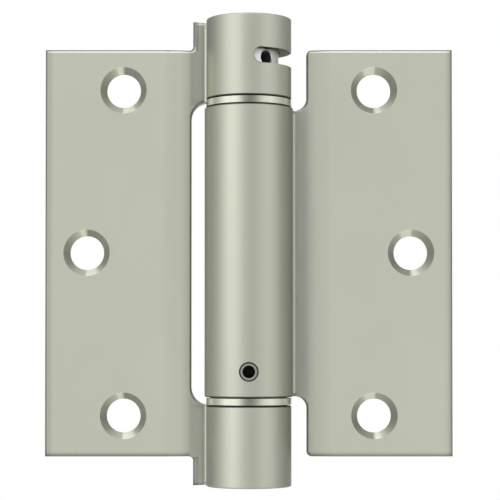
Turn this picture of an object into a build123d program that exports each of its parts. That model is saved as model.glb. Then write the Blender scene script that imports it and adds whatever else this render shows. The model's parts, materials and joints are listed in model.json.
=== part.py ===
from build123d import *
import os
from math import asin, atan2, cos, degrees, hypot, radians, sin, tan

# Spring loaded door hinge, opened flat. Millimetres.
# +Z runs up the pin axis, the leaves lie along X and their countersunk faces look towards -Y.
# The origin is on the pin axis at half height. Angles round the axis start at -Y and grow towards +X.

# Leaves
leaf_height = 88.9
open_width = 88.9
sheet_thickness = 2.5
closed_gap = 1.6
bend_start = 18.3
bend_radius = 14.8
front_rounding = 0.7
root_fillet_radius = 0.65

# Knuckles and barrel
hinge_height = 101.6
knuckle_radius = 9.27
barrel_radius = 9.64
barrel_length = 62.8
knuckle_end_rounding = 0.3
edge_break = 0.2

# Edges of the leaves beside the knuckles, measured from the pin axis
left_tab_edge = 12.2
left_window_edge = 12.6
right_inner_edge = 12.65
left_tab_root_radius = 1.0
window_corner_radius = 4.0
right_tab_root_radius = 2.6
right_corner_radius = 1.0

# Screw holes
screw_hole_radius = 3.72
countersink_radius = 5.04
countersink_angle = 82.0
end_hole_distance = 27.38
end_hole_spacing = 71.15
middle_hole_distance = 35.41

# Bearing rings between the knuckles
ring_thickness = 1.9
ring_rim_groove = 0.25
ring_hub_radius = 8.4

# Adjusting slot in the top knuckle
slot_end_distance = 8.95
slot_height = 3.4
slot_start_angle = 7.0

# Adjusting plug
plug_neck_radius = 6.5
plug_hole_diameter = 2.8
plug_hole_chamfer = 0.25
plug_hole_count = 6
first_plug_hole_angle = 37.0
pin_hole_number = 2
plug_neck_margin = 0.6
spigot_radius = 5.0
nose_radius = 3.7
nose_length = 5.0

# Tension pin
tension_pin_diameter = 2.6
tension_pin_depth = 4.6
tension_pin_recess = 0.2

# End caps and bushings
cap_thickness = 2.2
cap_chamfer = 0.35
upper_bushing_length = 9.0
bushing_cap_gap = 1.05

# Torsion spring
wire_diameter = 2.4
coil_radius = 5.3
coil_turns = 13.5
tang_reach = 3.2
tang_slimming = 0.05

# Spring anchor and its hollow pin
anchor_body_length = 11.5
anchor_pin_end_distance = 5.5
anchor_pin_diameter = 3.9
anchor_pin_bore = 2.6
anchor_pin_length = 14.0
anchor_pin_recess = 0.35
anchor_pin_hole_diameter = 4.2

# Fits
running_clearance = 0.06
press_clearance = 0.02
end_clearance = 0.1

# Largest distance at which an edge counts as lying on a surface
surface_tolerance = 0.02

# How far a cutting shape runs past the surface that it opens
cut_overrun = 1.0

# Worked out from the sizes above
half_width = open_width / 2
half_leaf = leaf_height / 2
half_height = hinge_height / 2
half_barrel = barrel_length / 2
knuckle_inner_end = half_barrel + ring_thickness
knuckle_bore_radius = knuckle_radius - sheet_thickness
barrel_bore_radius = barrel_radius - sheet_thickness
leaf_face = closed_gap / 2
leaf_back = leaf_face + sheet_thickness
tab_step = half_height - half_leaf
tab_root_radius = min(left_tab_root_radius, tab_step * 0.4)
tab_end_rounding = min(knuckle_end_rounding, tab_step * 0.4)
edge_rounding = min(front_rounding, tab_step * 0.4)
slot_level = half_height - slot_end_distance
anchor_pin_level = half_barrel - anchor_pin_end_distance
tension_pin_radius = tension_pin_diameter / 2
slot_end_radius = slot_height / 2
pin_angle = first_plug_hole_angle + pin_hole_number * 360 / plug_hole_count


def around(angle):
    return Vector(sin(radians(angle)), -cos(radians(angle)), 0)


def radial_plane(angle, distance, level):
    outward = around(angle)
    return Plane(origin=outward * distance + Vector(0, 0, level), z_dir=outward)


def radial_cylinder(angle, level, radius, inner, outer):
    return radial_plane(angle, (inner + outer) / 2, level) * Cylinder(radius, outer - inner)


def ring(outer_radius, inner_radius, low, high):
    return Pos(0, 0, (low + high) / 2) * (
        Cylinder(outer_radius, high - low) - Cylinder(inner_radius, high - low)
    )


def disc(radius, low, high):
    return Pos(0, 0, (low + high) / 2) * Cylinder(radius, high - low)


# Section of a leaf, drawn for the leaf on the +X side: a flat plate, one bend back, and a straight
# strip that runs tangent into the back of its knuckle.
class LeafSection:
    def __init__(self, radius):
        self.radius = radius
        self.centre = Vector(bend_start, leaf_back + bend_radius)
        slope = asin((radius + bend_radius) / hypot(self.centre.X, self.centre.Y))
        self.slope = slope - atan2(self.centre.Y, self.centre.X)
        self.back_normal = Vector(sin(self.slope), cos(self.slope))
        self.along = Vector(cos(self.slope), -sin(self.slope))

    def bend_point(self, radius, share):
        angle = self.slope * share
        return self.centre - Vector(sin(angle), cos(angle)) * radius

    def face(self):
        outer_bend = bend_radius + sheet_thickness
        foot_back = self.back_normal * self.radius
        foot_front = self.back_normal * (self.radius - sheet_thickness)
        front_bend = [self.bend_point(outer_bend, share) for share in (0, 0.5, 1)]
        back_bend = [self.bend_point(bend_radius, share) for share in (0, 0.5, 1)]
        edges = [
            Line((half_width, leaf_back), (half_width, leaf_face)),
            Line((half_width, leaf_face), front_bend[0]),
            ThreePointArc(*front_bend),
            Line(front_bend[2], foot_front),
            Line(foot_front, foot_back),
            Line(foot_back, back_bend[2]),
            ThreePointArc(*reversed(back_bend)),
            Line(back_bend[0], (half_width, leaf_back)),
        ]
        return make_face(Curve() + edges)

    def on_front(self, point):
        flat = Vector(point.X, point.Y)
        offsets = (
            flat.Y - leaf_face,
            (flat - self.centre).length - bend_radius - sheet_thickness,
            flat.dot(self.back_normal) - self.radius + sheet_thickness,
        )
        return min(abs(offset) for offset in offsets) < surface_tolerance

    def on_back(self, point):
        flat = Vector(point.X, point.Y)
        offsets = (
            flat.Y - leaf_back,
            (flat - self.centre).length - bend_radius,
            flat.dot(self.back_normal) - self.radius,
        )
        return min(abs(offset) for offset in offsets) < surface_tolerance

    # Small concave fillet between the strip's front surface and the knuckle.
    def root_fillet(self):
        offset = self.radius - sheet_thickness - root_fillet_radius
        reach = self.radius + root_fillet_radius
        run = (reach**2 - offset**2) ** 0.5
        centre = self.back_normal * offset + self.along * run
        depth = sheet_thickness / 4
        corner_run = (self.radius**2 - (self.radius - sheet_thickness) ** 2) ** 0.5
        corner = self.back_normal * (self.radius - sheet_thickness) + self.along * corner_run
        inside = corner * ((self.radius - depth) / self.radius)
        on_barrel = centre * ((self.radius - depth) / reach)
        on_strip = centre + self.back_normal * (root_fillet_radius + depth)
        patch = make_face(Polyline(centre, on_barrel, inside, on_strip, close=True))
        return patch - Pos(centre.X, centre.Y) * Circle(root_fillet_radius)


def outline_prism(points, corners):
    face = make_face(Polyline(*points, close=True))
    for place, radius in corners:
        vertex = face.vertices().sort_by_distance((place[0], place[1], 0))[0]
        face = fillet(vertex, radius)
    return extrude(Plane.XZ * face, amount=barrel_radius * 2, both=True)


def rim_edges(plate, on_surface):
    chosen = ShapeList()
    for side in plate.faces():
        if abs(side.normal_at(side.center()).Y) > surface_tolerance:
            continue
        chosen += [edge for edge in side.edges() if on_surface(edge.position_at(0.5))]
    return chosen


def countersunk_hole(distance, level):
    flare = countersink_radius - screw_hole_radius
    depth = flare / tan(radians(countersink_angle / 2))
    through = Cylinder(screw_hole_radius, sheet_thickness * 3)
    cone = Pos(0, 0, -depth / 2) * Cone(screw_hole_radius, countersink_radius, depth)
    mouth = Pos(0, 0, sheet_thickness / 2) * Cylinder(countersink_radius, sheet_thickness)
    face = Plane(origin=(distance, leaf_face, level), x_dir=(1, 0, 0), z_dir=(0, -1, 0))
    return face * (through + cone + mouth)


def screw_holes():
    holes = countersunk_hole(middle_hole_distance, 0)
    for level in (-end_hole_spacing / 2, end_hole_spacing / 2):
        holes += countersunk_hole(end_hole_distance, level)
    return holes


def leaf_plate(section, points, corners):
    sheet = extrude(section.face(), amount=half_height, both=True)
    plate = sheet & outline_prism(points, corners)
    plate = fillet(rim_edges(plate, section.on_front), edge_rounding)
    return plate - screw_holes()


def top_knuckle(section):
    knuckle = disc(knuckle_radius, knuckle_inner_end, half_height)
    knuckle = fillet(knuckle.edges().sort_by(Axis.Z)[-1], knuckle_end_rounding)
    knuckle = chamfer(knuckle.edges().sort_by(Axis.Z)[0], edge_break)
    root_height = half_height - edge_rounding - knuckle_inner_end
    root = extrude(section.root_fillet(), amount=root_height)
    return knuckle + Pos(0, 0, knuckle_inner_end) * root


# Leaf with the top and bottom knuckles. It is drawn on the +X side and mirrored at the end.
def left_leaf():
    section = LeafSection(knuckle_radius)
    points = []
    corners = []
    for end in (1, -1):
        half = [
            (half_width, end * half_leaf),
            (left_tab_edge, end * half_leaf),
            (left_tab_edge, end * half_height),
            (0, end * half_height),
            (0, end * knuckle_inner_end),
            (left_window_edge, end * knuckle_inner_end),
        ]
        points += half if end > 0 else reversed(half)
        corners.append((half[1], tab_root_radius))
        corners.append((half[5], window_corner_radius))
    leaf = leaf_plate(section, points, corners)
    tab_ends = ShapeList()
    for edge in rim_edges(leaf, section.on_back):
        if abs(edge.position_at(0.5).Z) > half_height - surface_tolerance:
            tab_ends.append(edge)
    leaf = fillet(tab_ends, tab_end_rounding)
    knuckle = top_knuckle(section)
    leaf = leaf + knuckle + mirror(knuckle, about=Plane.XY)
    leaf -= Cylinder(knuckle_bore_radius, hinge_height * 2)
    leaf = mirror(leaf, about=Plane.YZ)
    return leaf - adjusting_slot()


# The slot runs from the front round the free side of the knuckle. The tension pin rests near its
# far end, one pin radius short of the end's middle.
def adjusting_slot():
    half_turn = degrees(slot_end_radius / knuckle_radius)
    stop_offset = degrees((slot_end_radius - tension_pin_radius - end_clearance / 2) / knuckle_radius)
    first = slot_start_angle + half_turn
    last = pin_angle - stop_offset
    depth = knuckle_radius * 1.5
    corners = [around(first + (last - first) * share / 4) * depth for share in range(5)]
    wedge = make_face(Polyline((0, 0, 0), *corners, close=True))
    slot = Pos(0, 0, slot_level - slot_height / 2) * extrude(wedge, amount=slot_height)
    for angle in (first, last):
        slot += radial_cylinder(angle, slot_level, slot_end_radius, 0, depth)
    return slot


# Leaf with the long barrel between the two knuckles.
def right_leaf():
    section = LeafSection(barrel_radius)
    points = [
        (half_width, half_leaf),
        (right_inner_edge, half_leaf),
        (right_inner_edge, half_barrel),
        (0, half_barrel),
        (0, -half_barrel),
        (right_inner_edge, -half_barrel),
        (right_inner_edge, -half_leaf),
        (half_width, -half_leaf),
    ]
    corners = []
    for end in (1, -1):
        corners.append(((right_inner_edge, end * half_leaf), right_corner_radius))
        corners.append(((right_inner_edge, end * half_barrel), right_tab_root_radius))
    leaf = leaf_plate(section, points, corners)
    barrel = disc(barrel_radius, -half_barrel, half_barrel)
    barrel = chamfer(barrel.edges().filter_by(GeomType.CIRCLE), edge_break)
    root = extrude(section.root_fillet(), amount=half_barrel - edge_rounding, both=True)
    leaf = leaf + barrel + root
    leaf -= Cylinder(barrel_bore_radius, barrel_length * 2)
    pin_hole_radius = anchor_pin_hole_diameter / 2
    return leaf - radial_cylinder(0, -anchor_pin_level, pin_hole_radius, 0, barrel_radius * 1.5)


# Polished ring between two knuckles, with a narrow groove at each rim.
def bearing_ring():
    bore = spigot_radius + running_clearance
    hub = ring(ring_hub_radius, bore, 0, ring_thickness)
    rim = ring(knuckle_radius, bore, ring_rim_groove, ring_thickness - ring_rim_groove)
    return hub + rim


def end_cap():
    cap = disc(knuckle_bore_radius - press_clearance, -cap_thickness, 0)
    return chamfer(cap.edges().sort_by(Axis.Z)[-1], cap_chamfer)


def nose_slot(angle, low, high):
    width = wire_diameter + 4 * end_clearance
    return Pos(0, 0, (low + high) / 2) * Rot(0, 0, angle) * Box(barrel_radius * 2, width, high - low)


# Levels of the parts inside, from the top down.
plug_top = half_height - cap_thickness - end_clearance
plug_shoulder = knuckle_inner_end + end_clearance / 2
spigot_end = half_barrel - upper_bushing_length - end_clearance
upper_nose_end = spigot_end - nose_length
anchor_top = -half_barrel + anchor_body_length
lower_nose_end = anchor_top + nose_length
spring_top = spigot_end - wire_diameter / 2 - 3 * end_clearance
spring_bottom = anchor_top + wire_diameter / 2 + 3 * end_clearance


def adjusting_plug():
    collar_radius = knuckle_bore_radius - running_clearance
    plug = disc(collar_radius, plug_shoulder, plug_top)
    neck_half = slot_height / 2 + plug_neck_margin
    plug -= ring(collar_radius * 2, plug_neck_radius, slot_level - neck_half, slot_level + neck_half)
    plug += disc(spigot_radius, spigot_end, plug_shoulder)
    plug += disc(nose_radius, upper_nose_end, spigot_end)
    plug -= nose_slot(360 * coil_turns, upper_nose_end - end_clearance, spigot_end)
    hole_radius = plug_hole_diameter / 2
    for number in range(plug_hole_count):
        angle = first_plug_hole_angle + number * 360 / plug_hole_count
        plug -= radial_cylinder(angle, slot_level, hole_radius, 0, plug_neck_radius * 1.5)
        flare = plug_hole_chamfer * 2
        mouth = Cone(hole_radius, hole_radius + flare, flare)
        plug -= radial_plane(angle, plug_neck_radius - plug_hole_chamfer / 2, slot_level) * mouth
    return plug


def tension_pin():
    inner = plug_neck_radius - tension_pin_depth
    outer = knuckle_radius - tension_pin_recess
    pin = radial_cylinder(pin_angle, slot_level, tension_pin_radius, inner, outer)
    return chamfer(pin.edges().filter_by(GeomType.CIRCLE), edge_break)


def upper_bushing():
    outer = barrel_bore_radius - press_clearance
    return ring(outer, spigot_radius + running_clearance, half_barrel - upper_bushing_length, half_barrel)


def lower_bushing():
    outer = knuckle_bore_radius - press_clearance
    bottom = -half_height + cap_thickness + bushing_cap_gap
    return ring(outer, spigot_radius + running_clearance, bottom, -knuckle_inner_end)


# Plug at the foot of the barrel. Its spigot turns in the bottom knuckle and its nose holds the spring.
def spring_anchor():
    body = disc(barrel_bore_radius - press_clearance, -half_barrel, anchor_top)
    spigot = disc(spigot_radius, -half_height + cap_thickness + end_clearance, -half_barrel)
    nose = disc(nose_radius, anchor_top, lower_nose_end)
    anchor = body + spigot + nose - nose_slot(0, anchor_top, lower_nose_end + end_clearance)
    hole_radius = anchor_pin_diameter / 2 + press_clearance
    hole_end = barrel_radius - anchor_pin_recess - anchor_pin_length - end_clearance
    return anchor - radial_cylinder(0, -anchor_pin_level, hole_radius, hole_end, barrel_radius)


# Hollow pin that holds the anchor in the barrel.
def anchor_pin():
    outer = barrel_radius - anchor_pin_recess
    inner = outer - anchor_pin_length
    pin = radial_cylinder(0, -anchor_pin_level, anchor_pin_diameter / 2, inner, outer)
    pin = chamfer(pin.edges().filter_by(GeomType.CIRCLE), edge_break)
    bore_radius = anchor_pin_bore / 2
    return pin - radial_cylinder(0, -anchor_pin_level, bore_radius, inner - cut_overrun, outer + cut_overrun)


# Coil between the two plugs, with a straight tang across each nose. The coil runs on past each tang
# by half the wire.
def torsion_spring():
    height = spring_top - spring_bottom
    wire_radius = wire_diameter / 2
    overrun = degrees(wire_radius / coil_radius)
    rise = height / coil_turns * overrun / 360
    path = Helix(pitch=height / coil_turns, height=height + 2 * rise, radius=coil_radius)
    section = Plane(origin=path.position_at(0), z_dir=path.tangent_at(0)) * Circle(wire_radius)
    spring = Pos(0, 0, -rise) * Rot(0, 0, -overrun) * sweep(section, path=path, is_frenet=True)
    length = coil_radius + tang_reach
    for angle, level in ((0, 0), (360 * coil_turns, height)):
        tang = Pos(0, 0, level) * Rot(0, 0, angle) * Pos(coil_radius - length / 2, 0, 0)
        spring += tang * Rot(0, 90, 0) * Cylinder(wire_radius - tang_slimming, length)
    return Pos(0, 0, spring_bottom) * spring


def write(name, part):
    export_step(part, os.path.join("parts", name + ".step"))


os.makedirs("parts", exist_ok=True)
upper_ring_level = half_barrel
lower_ring_level = -knuckle_inner_end
write("left_leaf", left_leaf())
write("right_leaf", right_leaf())
write("upper_bearing_ring", Pos(0, 0, upper_ring_level) * bearing_ring())
write("lower_bearing_ring", Pos(0, 0, lower_ring_level) * bearing_ring())
write("top_cap", Pos(0, 0, half_height) * end_cap())
write("bottom_cap", Rot(180, 0, 0) * Pos(0, 0, half_height) * end_cap())
write("adjusting_plug", adjusting_plug())
write("tension_pin", tension_pin())
write("upper_bushing", upper_bushing())
write("lower_bushing", lower_bushing())
write("spring_anchor", spring_anchor())
write("anchor_pin", anchor_pin())
write("torsion_spring", torsion_spring())
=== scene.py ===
import json
import math

import bmesh
import bpy
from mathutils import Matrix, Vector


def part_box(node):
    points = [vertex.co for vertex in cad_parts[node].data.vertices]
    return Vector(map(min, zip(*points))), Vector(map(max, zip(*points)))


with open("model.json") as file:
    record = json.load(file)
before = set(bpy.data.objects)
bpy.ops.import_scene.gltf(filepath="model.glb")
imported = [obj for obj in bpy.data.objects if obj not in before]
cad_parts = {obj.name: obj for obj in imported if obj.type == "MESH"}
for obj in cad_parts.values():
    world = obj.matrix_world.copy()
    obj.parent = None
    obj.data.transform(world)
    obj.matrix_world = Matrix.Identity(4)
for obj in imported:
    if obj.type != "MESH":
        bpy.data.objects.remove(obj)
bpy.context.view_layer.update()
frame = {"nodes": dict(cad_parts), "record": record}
nodes = frame["nodes"]
print("frame loaded:", len(nodes), "pieces")


# Units that the levels below are written in
millimetre = 0.001
percent = 0.01


# Places that the frame gives, in metres: levels along the pin axis, and distances from it
def middleLevel(name):
    low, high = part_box(name)
    return (low.z + high.z) / 2


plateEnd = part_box("right_leaf")[1].z
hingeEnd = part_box("left_leaf")[1].z
jointLevel = middleLevel("upper_bearing_ring")
slotLevel = middleLevel("tension_pin")
pinLevel = middleLevel("anchor_pin")
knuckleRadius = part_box("upper_bearing_ring")[1].x
mounts = {mount["name"]: mount for mount in frame["record"]["mounts"]}
endHoles = mounts["right_leaf_end_holes"]
endHoleDistance = endHoles["pos_m"][0]
endHoleLevel = endHoles["dims"]["spacing_y_mm"] * millimetre / 2
middleHoleDistance = mounts["right_leaf_middle_hole"]["pos_m"][0]


# Camera, a little below the hinge's middle, as in the photograph
cameraSetup = {
    "distance": 0.400,
    "height": -0.0220,
    "side": 0.00026,
    "lens": 132.35,
    "sensor": 36.0,
    "tilt": 1.20,
    "rise": 0.13,  # lens shift that brings the hinge to the frame's middle
    "clipStart": 0.01,
    "clipEnd": 50.0,
}


def makeCamera(setup):
    lens = bpy.data.cameras.new("camera")
    lens.lens = setup["lens"]
    lens.sensor_width = setup["sensor"]
    lens.shift_y = setup["rise"]
    lens.clip_start = setup["clipStart"]
    lens.clip_end = setup["clipEnd"]
    camera = bpy.data.objects.new("camera", lens)
    bpy.context.scene.collection.objects.link(camera)
    camera.location = (setup["side"], -setup["distance"], setup["height"])
    camera.rotation_euler = (math.radians(90 + setup["tilt"]), 0, 0)
    bpy.context.scene.camera = camera


makeCamera(cameraSetup)
print("camera placed")


# Helpers for node materials
def newMaterial(name):
    material = bpy.data.materials.new(name)
    material.use_nodes = True
    tree = material.node_tree
    tree.nodes.clear()
    output = tree.nodes.new("ShaderNodeOutputMaterial")
    return material, tree, output


def link(tree, source, target):
    tree.links.new(source, target)


def calculate(tree, operation, first, second=None):
    node = tree.nodes.new("ShaderNodeMath")
    node.operation = operation
    for socket, value in zip(node.inputs, (first, second)):
        if isinstance(value, (int, float)):
            socket.default_value = value
        elif value is not None:
            link(tree, value, socket)
    return node.outputs[0]


def plus(tree, first, second):
    return calculate(tree, "ADD", first, second)


def minus(tree, first, second):
    return calculate(tree, "SUBTRACT", first, second)


def times(tree, first, second):
    return calculate(tree, "MULTIPLY", first, second)


def above(tree, value, limit):
    return calculate(tree, "GREATER_THAN", value, limit)


def below(tree, value, limit):
    return calculate(tree, "LESS_THAN", value, limit)


def sizeOf(tree, value):
    return calculate(tree, "ABSOLUTE", value)


def sideOf(tree, value):
    return calculate(tree, "SIGN", value)


def radiusOf(tree, first, second):
    squares = plus(tree, calculate(tree, "POWER", first, 2), calculate(tree, "POWER", second, 2))
    return calculate(tree, "SQRT", squares)


def blend(tree, factor, first, second):
    return plus(tree, first, times(tree, factor, minus(tree, second, first)))


def product(tree, *gains):
    total = gains[0]
    for gain in gains[1:]:
        total = times(tree, total, gain)
    return total


# The gain counts only where the mask is 1
def where(tree, mask, gain):
    return blend(tree, mask, 1.0, gain)


def rangeOf(tree, value, low, high, toLow=0.0, toHigh=1.0):
    node = tree.nodes.new("ShaderNodeMapRange")
    node.interpolation_type = "SMOOTHSTEP"
    link(tree, value, node.inputs["Value"])
    node.inputs["From Min"].default_value = low
    node.inputs["From Max"].default_value = high
    node.inputs["To Min"].default_value = toLow
    node.inputs["To Max"].default_value = toHigh
    return node.outputs["Result"]


# A band is (start, end): the mask rises from 0 to 1 between them
def maskFrom(tree, value, band):
    return rangeOf(tree, value, *band)


# A toned band is (start, end, gain): the gain holds past the end
def gainPast(tree, value, band):
    start, end, gain = band
    return rangeOf(tree, value, start, end, 1.0, gain)


# The gain holds up to the start
def gainBefore(tree, value, band):
    start, end, gain = band
    return rangeOf(tree, value, start, end, gain, 1.0)


# Ramp through given levels, each a place and a gain
def levelRamp(tree, share, levels):
    ramp = tree.nodes.new("ShaderNodeValToRGB")
    stops = ramp.color_ramp.elements
    while len(stops) < len(levels):
        stops.new(0.5)
    first = levels[0][0]
    last = levels[-1][0]
    highest = max(level for place, level in levels)
    for stop, (place, level) in zip(stops, levels):
        stop.position = (place - first) / (last - first)
        stop.color = (level / highest, level / highest, level / highest, 1)
    link(tree, share, ramp.inputs["Fac"])
    return times(tree, ramp.outputs["Color"], highest)


# The same, read at a distance in metres or at a share, with the levels' places in the given unit
def levelsAlong(tree, value, levels, unit=millimetre):
    first = levels[0][0] * unit
    last = levels[-1][0] * unit
    share = calculate(tree, "DIVIDE", minus(tree, value, first), last - first)
    return levelRamp(tree, share, levels)


# Sweep round a centre, from 0 to 1
def sweepOf(tree, place):
    sweep = tree.nodes.new("ShaderNodeTexGradient")
    sweep.gradient_type = "RADIAL"
    link(tree, place, sweep.inputs["Vector"])
    return sweep.outputs["Fac"]


def objectPlace(tree):
    return tree.nodes.new("ShaderNodeTexCoord").outputs["Object"]


def objectNormal(tree):
    return tree.nodes.new("ShaderNodeTexCoord").outputs["Normal"]


# X, Y and Z of a place or of a direction
def axesOf(tree, vector):
    split = tree.nodes.new("ShaderNodeSeparateXYZ")
    link(tree, vector, split.inputs[0])
    return split.outputs


def grain(tree, place, scale, texture):
    mapping = tree.nodes.new("ShaderNodeMapping")
    mapping.inputs["Scale"].default_value = scale
    link(tree, place, mapping.inputs["Vector"])
    noise = tree.nodes.new("ShaderNodeTexNoise")
    noise.inputs["Scale"].default_value = 1.0
    noise.inputs["Detail"].default_value = texture["detail"]
    noise.inputs["Roughness"].default_value = texture["roughness"]
    link(tree, mapping.outputs[0], noise.inputs["Vector"])
    return noise.outputs["Fac"]


def tint(tree, factor, dark, light):
    mix = tree.nodes.new("ShaderNodeMix")
    mix.data_type = "RGBA"
    link(tree, factor, mix.inputs["Factor"])
    mix.inputs["A"].default_value = (*dark, 1)
    mix.inputs["B"].default_value = (*light, 1)
    return mix.outputs["Result"]


def scaled(tree, colour, gain):
    node = tree.nodes.new("ShaderNodeVectorMath")
    node.operation = "SCALE"
    link(tree, colour, node.inputs[0])
    link(tree, gain, node.inputs["Scale"])
    return node.outputs["Vector"]


def bump(tree, height, strength, distance):
    node = tree.nodes.new("ShaderNodeBump")
    node.inputs["Strength"].default_value = strength
    node.inputs["Distance"].default_value = distance
    link(tree, height, node.inputs["Height"])
    return node.outputs["Normal"]


# Leaves: painted reflections and shade, given as gains of the colour across the front, in millimetres
# along X, then on rims, feet and tabs.
# Rims are told by how far a surface faces outwards, inwards or up, from 0 to 1.
leafPaintedLightTone = {
    "levels": (
        (-45, 0.58), (-44, 0.72), (-43.4, 0.90), (-42.6, 1.04), (-30, 1.07), (-18, 1.12), (-15, 1.18),
        (-12.6, 1.02), (-10.6, 1.24), (-9.9, 1.00), (9.9, 1.00), (10.3, 1.50), (10.8, 1.50),
        (11.3, 1.41), (12.7, 0.92), (13.6, 0.82), (15, 0.89), (18.3, 1.16), (42.6, 1.18), (43.3, 1.10),
        (44, 0.82), (45, 0.62),
    ),
    "outerRim": (0.02, 0.50, 0.78),
    "tabRim": (0.02, 0.20, 0.75),
    "innerRim": (0.50, 0.80, 0.66),
    "windowRim": (0.10, 0.50, 1.80),
    "crestLevels": ((0, 1.00), (6, 1.00), (16, 1.65), (34, 1.30), (60, 0.62), (100, 0.50)),  # in percent
    "backFace": (0.05, 0.60),
    "backGain": 1.12,
    "besideRoll": (0.0098, 0.0100),
    "rimStart": (0.0112, 0.0113),
    "plateStart": (0.0127, 0.0132),
    "tabSide": (0.0108, 0.0114, 0.64),
    "upperStrip": (0.0126, 0.0130, 0.86),
    "tabStep": 0.0001,
    "plateFade": 0.0013,
    "plateFoot": 0.58,
    "plateLift": 1.03,
    "tabFade": 0.0010,
    "tabFoot": 0.45,
    "rollWall": (0.0090, 0.00915, 0.22),
    "endDepth": 0.0004,
    "endFade": 0.0001,
    "jointLine": (0.00117, 0.00123, 0.30),
    "jointRadius": (0.0098, 0.0099),
    "cool": {"from": (0.0070, 0.0090), "to": (0.0127, 0.0135), "blue": 1.06},
}


def isTab(tree, axes, tone):
    return above(tree, sizeOf(tree, axes[2]), plateEnd + tone["tabStep"])


# Painted shade on the rounded rims, the outer and inner ones darker, and a painted highlight on those that
# look up
def rimShadeAndHighlight(tree, axes, facing, tone):
    across = sizeOf(tree, axes[0])
    outwards = times(tree, facing[0], sideOf(tree, axes[0]))
    inwards = times(tree, outwards, -1.0)
    plateRim = gainPast(tree, outwards, tone["outerRim"])
    tabRim = gainPast(tree, outwards, tone["tabRim"])
    outer = blend(tree, isTab(tree, axes, tone), plateRim, tabRim)
    inner = gainPast(tree, inwards, tone["innerRim"])
    onTop = above(tree, axes[2], plateEnd - tone["plateFade"])
    crest = where(tree, onTop, levelsAlong(tree, facing[2], tone["crestLevels"], percent))
    rims = where(tree, maskFrom(tree, across, tone["rimStart"]), product(tree, outer, inner, crest))
    inWindow = below(tree, sizeOf(tree, axes[2]), plateEnd - tone["plateFade"])
    inWindow = times(tree, inWindow, maskFrom(tree, across, tone["besideRoll"]))
    return times(tree, rims, where(tree, inWindow, gainPast(tree, facing[2], tone["windowRim"])))


# Painted shade: the feet of the plates and tabs, the tabs' sides and the strip beside the top knuckle are
# darker, and painted light makes the plates slightly lighter downwards
def footShadeGain(tree, axes, tone):
    across = sizeOf(tree, axes[0])
    besideRoll = maskFrom(tree, across, tone["besideRoll"])
    onPlate = maskFrom(tree, across, tone["plateStart"])
    foot = rangeOf(tree, axes[2], -plateEnd, tone["plateFade"] - plateEnd, tone["plateFoot"], 1.0)
    lift = rangeOf(tree, axes[2], -plateEnd, plateEnd, tone["plateLift"], 1.0)
    tabFoot = rangeOf(tree, axes[2], -hingeEnd, tone["tabFade"] - hingeEnd, tone["tabFoot"], 1.0)
    onStrip = times(tree, above(tree, axes[2], jointLevel), besideRoll)
    return product(
        tree,
        where(tree, onStrip, gainBefore(tree, across, tone["upperStrip"])),
        where(tree, isTab(tree, axes, tone), gainPast(tree, across, tone["tabSide"])),
        where(tree, onPlate, times(tree, foot, lift)),
        where(tree, besideRoll, tabFoot),
    )


# Rolled metal of the top knuckle, the barrel and the bottom knuckle: painted reflections and shade, as
# gains in millimetres along X
rollReflectionTone = {
    "head": (
        (-10, 1.15), (-8.4, 1.10), (-7.1, 1.05), (-5.7, 0.97), (-4.5, 0.94), (-2.2, 0.99), (0, 0.98),
        (2.2, 0.93), (4.1, 0.98), (5.7, 1.05), (7.1, 1.12), (10, 1.15),
    ),
    "barrel": (
        (-10, 1.05), (-9.3, 1.00), (-8.7, 0.86), (-8.1, 0.86), (-7.3, 0.96), (-5, 0.98), (-4.2, 1.02),
        (-1, 0.96), (1.5, 0.97), (4, 1.00), (6, 0.97), (7.3, 0.90), (8.7, 0.82), (10, 0.84),
    ),
    "foot": (
        (-10, 1.10), (-9, 1.05), (-8.4, 0.84), (-7.8, 0.86), (-7, 0.95), (-5, 1.05), (-3.6, 1.11),
        (-1.3, 1.00), (0.8, 0.96), (3.2, 1.05), (5, 1.00), (6.4, 0.88), (7.8, 0.80), (8.5, 0.80),
        (9, 0.98), (10, 1.00),
    ),
    "edge": (0.0097, 0.0099),
}


def rollReflectionGain(tree, axes, tone):
    level = levelsAlong(tree, axes[0], tone["barrel"])
    level = blend(tree, above(tree, axes[2], jointLevel), level, levelsAlong(tree, axes[0], tone["head"]))
    level = blend(tree, below(tree, axes[2], -jointLevel), level, levelsAlong(tree, axes[0], tone["foot"]))
    return blend(tree, maskFrom(tree, sizeOf(tree, axes[0]), tone["edge"]), level, 1.0)


# Countersinks: painted highlights and shade, as gains in degrees round a left hole from -X by way of its
# foot.
# The right leaf's holes are the same, turned half way round.
sinkHighlightTone = {
    "radius": 0.00508,
    "levels": (
        (0, 0.76), (35, 0.86), (62, 1.05), (86, 1.15), (90, 1.86), (116, 1.86), (128, 1.20), (155, 0.86),
        (180, 0.80), (266, 0.72), (271, 1.40), (275, 1.86), (284, 1.80), (293, 1.30), (310, 1.05),
        (335, 0.86), (360, 0.76),
    ),
}


# Gives the painted highlights and shade round a hole, and the mask of the countersinks
def sinkHighlightGain(tree, axes, tone):
    side = sideOf(tree, axes[0])
    end = sideOf(tree, axes[2])
    endAcross = minus(tree, axes[0], times(tree, side, endHoleDistance))
    endUp = minus(tree, axes[2], times(tree, end, endHoleLevel))
    middleAcross = minus(tree, axes[0], times(tree, side, middleHoleDistance))
    isMiddle = below(tree, sizeOf(tree, axes[2]), endHoleLevel / 2)
    across = blend(tree, isMiddle, endAcross, middleAcross)
    up = blend(tree, isMiddle, endUp, axes[2])
    turn = times(tree, side, -1.0)
    place = tree.nodes.new("ShaderNodeCombineXYZ")
    link(tree, times(tree, across, turn), place.inputs[0])
    link(tree, times(tree, up, turn), place.inputs[1])
    gain = levelRamp(tree, sweepOf(tree, place.outputs[0]), tone["levels"])
    return gain, below(tree, radiusOf(tree, across, up), tone["radius"])


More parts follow.
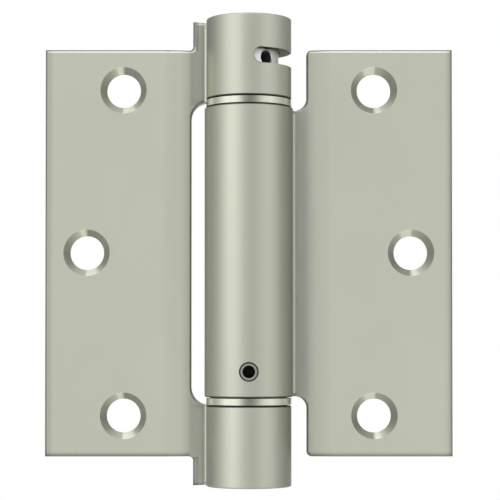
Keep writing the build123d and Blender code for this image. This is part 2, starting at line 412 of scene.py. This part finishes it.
# Adjusting slot: a thin line of painted shade round its front end, which lies this many degrees from the
# front towards +X
slotShadeTone = {
    "endAngle": 17.5,
    "endRadius": 0.0017,
    "line": (0.00009, 0.00018, 0.45),
    "lineMiddle": -0.0009,
    "lineReach": 0.0012,
}


def slotShadeGain(tree, axes, tone):
    angle = calculate(tree, "ARCTAN2", axes[0], times(tree, axes[1], -1.0))
    along = times(tree, minus(tree, angle, math.radians(tone["endAngle"])), knuckleRadius)
    up = minus(tree, axes[2], slotLevel)
    gap = minus(tree, radiusOf(tree, calculate(tree, "MINIMUM", along, 0.0), up), tone["endRadius"])
    isEnd = below(tree, sizeOf(tree, minus(tree, along, tone["lineMiddle"])), tone["lineReach"])
    return where(tree, isEnd, gainBefore(tree, sizeOf(tree, gap), tone["line"]))


# Painted shade on the rolls' inner walls, but not on the ends of the knuckles
def wallShadeGain(tree, axes, tone):
    wall = gainBefore(tree, radiusOf(tree, axes[0], axes[1]), tone["rollWall"])
    endStart = hingeEnd - tone["endDepth"]
    ends = rangeOf(tree, sizeOf(tree, axes[2]), endStart, endStart + tone["endFade"])
    return calculate(tree, "MAXIMUM", wall, ends)


# Painted shade on the chamfers beside the bearing rings, but not on the plates outside the rolls
def jointShadeGain(tree, axes, tone):
    offset = sizeOf(tree, minus(tree, sizeOf(tree, axes[2]), jointLevel))
    outside = maskFrom(tree, radiusOf(tree, axes[0], axes[1]), tone["jointRadius"])
    return gainBefore(tree, plus(tree, offset, outside), tone["jointLine"])


# Painted light and shade on both leaves: the front's ramps, rims and feet, the countersinks' highlights,
# the slot's line, the rolls' reflections, and shade on inner walls and beside the rings
def leafPaintedLightGain(tree, axes, tone):
    facing = axesOf(tree, objectNormal(tree))
    plates = product(
        tree,
        levelsAlong(tree, axes[0], tone["levels"]),
        rimShadeAndHighlight(tree, axes, facing, tone),
        footShadeGain(tree, axes, tone),
    )
    sink, sinkMask = sinkHighlightGain(tree, axes, sinkHighlightTone)
    front = blend(tree, sinkMask, plates, sink)
    front = product(tree, front, slotShadeGain(tree, axes, slotShadeTone), rollReflectionGain(tree, axes, rollReflectionTone))
    # Faces turned to the back take one even gain in place of the front's painted light and shade
    outside = blend(tree, maskFrom(tree, facing[1], tone["backFace"]), front, tone["backGain"])
    return product(tree, outside, wallShadeGain(tree, axes, tone), jointShadeGain(tree, axes, tone))


# Bearing rings: painted shade in the grooves at the rims, and painted reflections as gains in millimetres
# along X
ringShadeAndReflectionTone = {
    "groove": (0.0086, 0.0090, 0.06),
    "levels": (
        (-9.5, 1.20), (-8.4, 1.20), (-7.2, 1.36), (-5.5, 1.12), (-4, 0.88), (-2.2, 0.84), (-1, 0.60),
        (0.3, 0.46), (1.4, 0.64), (2.4, 0.88), (3.8, 1.00), (5.5, 1.22), (7.2, 1.50), (8.4, 1.30),
        (9.5, 1.40),
    ),
    "cool": {"from": (0.0070, 0.0084), "to": (0.0127, 0.0135), "blue": 1.20},
}


def ringShadeAndReflectionGain(tree, axes, tone):
    groove = gainBefore(tree, radiusOf(tree, axes[0], axes[1]), tone["groove"])
    return times(tree, groove, levelsAlong(tree, axes[0], tone["levels"]))


# Adjusting plug: painted shade inside its holes, and painted light as gains in millimetres along X
plugShadeAndLightTone = {
    "bore": (0.0062, 0.0063, 0.70),
    "levels": ((-10, 1.00), (1.5, 1.22), (4.2, 1.20), (5.4, 1.36), (6.0, 1.50), (10, 1.50)),
}


def plugShadeAndLightGain(tree, axes, tone):
    bore = gainBefore(tree, radiusOf(tree, axes[0], axes[1]), tone["bore"])
    return times(tree, bore, levelsAlong(tree, axes[0], tone["levels"]))


# Pin in the barrel's foot and the anchor it holds: painted shade in the bore that runs through both
pinBoreShade = {"bore": (0.00132, 0.00142, 0.12)}
anchorBoreShade = {"bore": (0.00205, 0.00215, 0.12)}


def boreShadeGain(tree, axes, tone):
    return gainBefore(tree, radiusOf(tree, axes[0], minus(tree, axes[2], pinLevel)), tone["bore"])


# Metal finishes: colour, roughness and bump all follow a fine brushed grain
satinNickel = {
    "grazing": (0.62, 0.63, 0.54),
    "dark": (0.490, 0.502, 0.424),
    "light": (0.525, 0.537, 0.453),
    "grainAcross": 5200.0,
    "grainAlong": 160.0,
    "roughLow": 0.40,
    "roughHigh": 0.46,
    "bumpStrength": 0.12,
    "bumpHeight": 0.000004,
}

polishedNickel = {
    "grazing": (0.75, 0.76, 0.64),
    "dark": (0.60, 0.61, 0.51),
    "light": (0.64, 0.65, 0.545),
    "grainAcross": 400.0,
    "grainAlong": 9000.0,
    "roughLow": 0.20,
    "roughHigh": 0.26,
    "bumpStrength": 0.05,
    "bumpHeight": 0.000002,
}

plugSteel = {
    "grazing": (0.85, 0.85, 0.84),
    "dark": (0.69, 0.69, 0.68),
    "light": (0.77, 0.77, 0.76),
    "grainAcross": 600.0,
    "grainAlong": 7000.0,
    "roughLow": 0.40,
    "roughHigh": 0.48,
    "bumpStrength": 0.10,
    "bumpHeight": 0.000004,
}

pinSteel = {
    "grazing": (0.60, 0.60, 0.58),
    "dark": (0.32, 0.32, 0.305),
    "light": (0.40, 0.40, 0.38),
    "grainAcross": 900.0,
    "grainAlong": 3000.0,
    "roughLow": 0.30,
    "roughHigh": 0.42,
    "bumpStrength": 0.10,
    "bumpHeight": 0.000004,
}

springWire = {
    "grazing": (0.50, 0.50, 0.49),
    "dark": (0.10, 0.10, 0.095),
    "light": (0.17, 0.17, 0.16),
    "grainAcross": 1500.0,
    "grainAlong": 1500.0,
    "roughLow": 0.35,
    "roughHigh": 0.50,
    "bumpStrength": 0.15,
    "bumpHeight": 0.000006,
}

# Brushed lines and soft patches, the same on every metal but for the lines' scale
metalGrain = {
    "lines": {"detail": 3.0, "roughness": 0.6},
    "patches": {"detail": 2.0, "roughness": 0.5},
    "patchScale": (90.0, 90.0, 60.0),
    "lineShare": 0.6,
    "roughBand": (0.25, 0.75),
}


# The metal turns yellower where it mirrors itself beside the rolls, so its blue is lifted there
def cooled(tree, colour, axes, cool):
    across = sizeOf(tree, axes[0])
    start, end = cool["to"]
    mix = tree.nodes.new("ShaderNodeMix")
    mix.data_type = "RGBA"
    mix.blend_type = "MULTIPLY"
    inner = maskFrom(tree, across, cool["from"])
    link(tree, times(tree, inner, rangeOf(tree, across, start, end, 1.0, 0.0)), mix.inputs["Factor"])
    link(tree, colour, mix.inputs["A"])
    mix.inputs["B"].default_value = (1.0, 1.0, cool["blue"], 1)
    return mix.outputs["Result"]


def makeMetal(name, finish, gainOf=None, tone=None):
    material, tree, output = newMaterial(name)
    shader = tree.nodes.new("ShaderNodeBsdfPrincipled")
    shader.inputs["Metallic"].default_value = 1.0
    shader.inputs["Specular Tint"].default_value = (*finish["grazing"], 1)
    link(tree, shader.outputs[0], output.inputs["Surface"])
    place = objectPlace(tree)
    lineScale = (finish["grainAcross"], finish["grainAcross"], finish["grainAlong"])
    lines = grain(tree, place, lineScale, metalGrain["lines"])
    patches = grain(tree, place, metalGrain["patchScale"], metalGrain["patches"])
    shade = blend(tree, metalGrain["lineShare"], patches, lines)
    colour = tint(tree, shade, finish["dark"], finish["light"])
    if gainOf is not None:
        axes = axesOf(tree, place)
        colour = scaled(tree, colour, gainOf(tree, axes, tone))
        if "cool" in tone:
            colour = cooled(tree, colour, axes, tone["cool"])
    link(tree, colour, shader.inputs["Base Color"])
    rough = rangeOf(tree, shade, *metalGrain["roughBand"], finish["roughLow"], finish["roughHigh"])
    link(tree, rough, shader.inputs["Roughness"])
    link(tree, bump(tree, lines, finish["bumpStrength"], finish["bumpHeight"]), shader.inputs["Normal"])
    return material


bushingNylon = {
    "dark": (0.62, 0.60, 0.54),
    "light": (0.70, 0.68, 0.62),
    "speckle": {"detail": 3.0, "roughness": 0.55},
    "speckleScale": (1800.0, 1800.0, 1800.0),
    "roughBand": (0.3, 0.7),
    "roughLow": 0.42,
    "roughHigh": 0.55,
    "bumpStrength": 0.2,
    "bumpHeight": 0.00002,
}


def makeNylon(name, finish):
    material, tree, output = newMaterial(name)
    shader = tree.nodes.new("ShaderNodeBsdfPrincipled")
    link(tree, shader.outputs[0], output.inputs["Surface"])
    speckle = grain(tree, objectPlace(tree), finish["speckleScale"], finish["speckle"])
    link(tree, tint(tree, speckle, finish["dark"], finish["light"]), shader.inputs["Base Color"])
    rough = rangeOf(tree, speckle, *finish["roughBand"], finish["roughLow"], finish["roughHigh"])
    link(tree, rough, shader.inputs["Roughness"])
    link(tree, bump(tree, speckle, finish["bumpStrength"], finish["bumpHeight"]), shader.inputs["Normal"])
    return material


def dress(material, *names):
    for name in names:
        slots = nodes[name].data.materials
        slots.clear()
        slots.append(material)


dress(makeMetal("satinNickel", satinNickel, leafPaintedLightGain, leafPaintedLightTone), "left_leaf", "right_leaf")
dress(makeMetal("capNickel", satinNickel), "top_cap", "bottom_cap")
dress(
    makeMetal("polishedNickel", polishedNickel, ringShadeAndReflectionGain, ringShadeAndReflectionTone),
    "upper_bearing_ring", "lower_bearing_ring",
)
dress(makeMetal("plugSteel", plugSteel, plugShadeAndLightGain, plugShadeAndLightTone), "adjusting_plug")
dress(makeMetal("anchorSteel", plugSteel, boreShadeGain, anchorBoreShade), "spring_anchor")
dress(makeMetal("pinSteel", pinSteel), "tension_pin")
dress(makeMetal("hollowPinSteel", pinSteel, boreShadeGain, pinBoreShade), "anchor_pin")
dress(makeMetal("springWire", springWire), "torsion_spring")
dress(makeNylon("bushingNylon", bushingNylon), "upper_bushing", "lower_bushing")
print("finishes applied")


def linkStage(name, mesh):
    piece = bpy.data.objects.new(name, mesh)
    bpy.context.scene.collection.objects.link(piece)
    return piece


# Pale floor that fades to white away from the hinge
floorSetup = {
    "level": -0.13,
    "radius": 8.0,
    "sides": 96,
    "colour": (0.80, 0.80, 0.80),
    "fade": (0.30, 0.56),
}


def makeFloor(setup):
    mesh = bpy.data.meshes.new("floor")
    shape = bmesh.new()
    bmesh.ops.create_circle(shape, cap_ends=True, segments=setup["sides"], radius=setup["radius"])
    bmesh.ops.translate(shape, verts=shape.verts, vec=(0, 0, setup["level"]))
    shape.to_mesh(mesh)
    shape.free()
    linkStage("floor", mesh)
    material, tree, output = newMaterial("paleFloor")
    length = tree.nodes.new("ShaderNodeVectorMath")
    length.operation = "LENGTH"
    link(tree, objectPlace(tree), length.inputs[0])
    diffuse = tree.nodes.new("ShaderNodeBsdfDiffuse")
    diffuse.inputs["Color"].default_value = (*setup["colour"], 1)
    glow = tree.nodes.new("ShaderNodeEmission")
    mix = tree.nodes.new("ShaderNodeMixShader")
    link(tree, maskFrom(tree, length.outputs["Value"], setup["fade"]), mix.inputs[0])
    link(tree, diffuse.outputs[0], mix.inputs[1])
    link(tree, glow.outputs[0], mix.inputs[2])
    link(tree, mix.outputs[0], output.inputs["Surface"])
    mesh.materials.append(material)


# Light tent that only the metal's gloss sees. The wall's levels go round the hinge in degrees from the
# camera's side, towards +X. The roof takes over from the wall between two sines of the height angle,
# and its own level changes from front to back.
tentSetup = {
    "radius": 0.80,
    "segments": 96,
    "rings": 48,
    "levels": (
        (-180, 1.00), (-168, 0.90), (-145, 0.34), (-120, 0.28), (-98, 0.40), (-80, 0.78), (-64, 1.42),
        (-38, 1.78), (-22, 1.25), (-9, 0.72), (8, 0.60), (28, 0.80), (42, 1.14), (64, 1.05), (80, 0.66),
        (96, 0.44), (115, 0.36), (145, 0.38), (168, 0.90), (180, 1.00),
    ),
    "turn": 90,  # brings the sweep's middle to the camera's side
    "roof": (0.60, 0.75),
    "roofDepth": (-0.25, 0.0),
    "roofFront": 1.75,
    "roofBack": 0.75,
}


def makeTent(setup):
    mesh = bpy.data.meshes.new("lightTent")
    shape = bmesh.new()
    bmesh.ops.create_uvsphere(
        shape, u_segments=setup["segments"], v_segments=setup["rings"], radius=setup["radius"]
    )
    shape.to_mesh(mesh)
    shape.free()
    tent = linkStage("lightTent", mesh)
    tent.visible_camera = False
    tent.visible_diffuse = False
    tent.visible_shadow = False
    material, tree, output = newMaterial("tentLight")
    place = objectPlace(tree)
    axes = axesOf(tree, place)
    turn = tree.nodes.new("ShaderNodeMapping")
    turn.inputs["Rotation"].default_value = (0, 0, math.radians(setup["turn"]))
    link(tree, place, turn.inputs["Vector"])
    wall = levelRamp(tree, sweepOf(tree, turn.outputs[0]), setup["levels"])
    height = calculate(tree, "DIVIDE", axes[2], setup["radius"])
    depth = calculate(tree, "DIVIDE", axes[1], setup["radius"])
    roof = rangeOf(tree, depth, *setup["roofDepth"], setup["roofFront"], setup["roofBack"])
    light = tree.nodes.new("ShaderNodeEmission")
    link(tree, blend(tree, maskFrom(tree, height, setup["roof"]), wall, roof), light.inputs["Strength"])
    link(tree, light.outputs[0], output.inputs["Surface"])
    mesh.materials.append(material)


# Soft lamp overhead, which the metal doesn't mirror
lampSetup = {
    "place": (0, -0.25, 1.15),
    "tilt": -12,
    "size": 0.9,
    "power": 9.0,
}


def makeLamp(setup):
    light = bpy.data.lights.new("overheadLamp", "AREA")
    light.shape = "SQUARE"
    light.size = setup["size"]
    light.energy = setup["power"]
    lamp = bpy.data.objects.new("overheadLamp", light)
    bpy.context.scene.collection.objects.link(lamp)
    lamp.location = setup["place"]
    lamp.rotation_euler = (math.radians(setup["tilt"]), 0, 0)
    lamp.visible_glossy = False


# World: white where it is seen, mirrored or looked through, and a plain grey light elsewhere
worldSetup = {
    "light": 0.50,
    "seen": 1.0,
}


def makeWorld(setup):
    world = bpy.data.worlds.new("studioWorld")
    bpy.context.scene.world = world
    world.use_nodes = True
    tree = world.node_tree
    tree.nodes.clear()
    output = tree.nodes.new("ShaderNodeOutputWorld")
    rays = tree.nodes.new("ShaderNodeLightPath")
    seen = calculate(tree, "MAXIMUM", rays.outputs["Is Camera Ray"], rays.outputs["Is Glossy Ray"])
    seen = calculate(tree, "MAXIMUM", seen, rays.outputs["Is Transmission Ray"])
    background = tree.nodes.new("ShaderNodeBackground")
    background.inputs["Color"].default_value = (1, 1, 1, 1)
    strength = rangeOf(tree, seen, 0, 1, setup["light"], setup["seen"])
    link(tree, strength, background.inputs["Strength"])
    link(tree, background.outputs[0], output.inputs["Surface"])


makeFloor(floorSetup)
makeTent(tentSetup)
makeLamp(lampSetup)
makeWorld(worldSetup)
bpy.context.scene.view_settings.view_transform = "Standard"
print("studio ready")
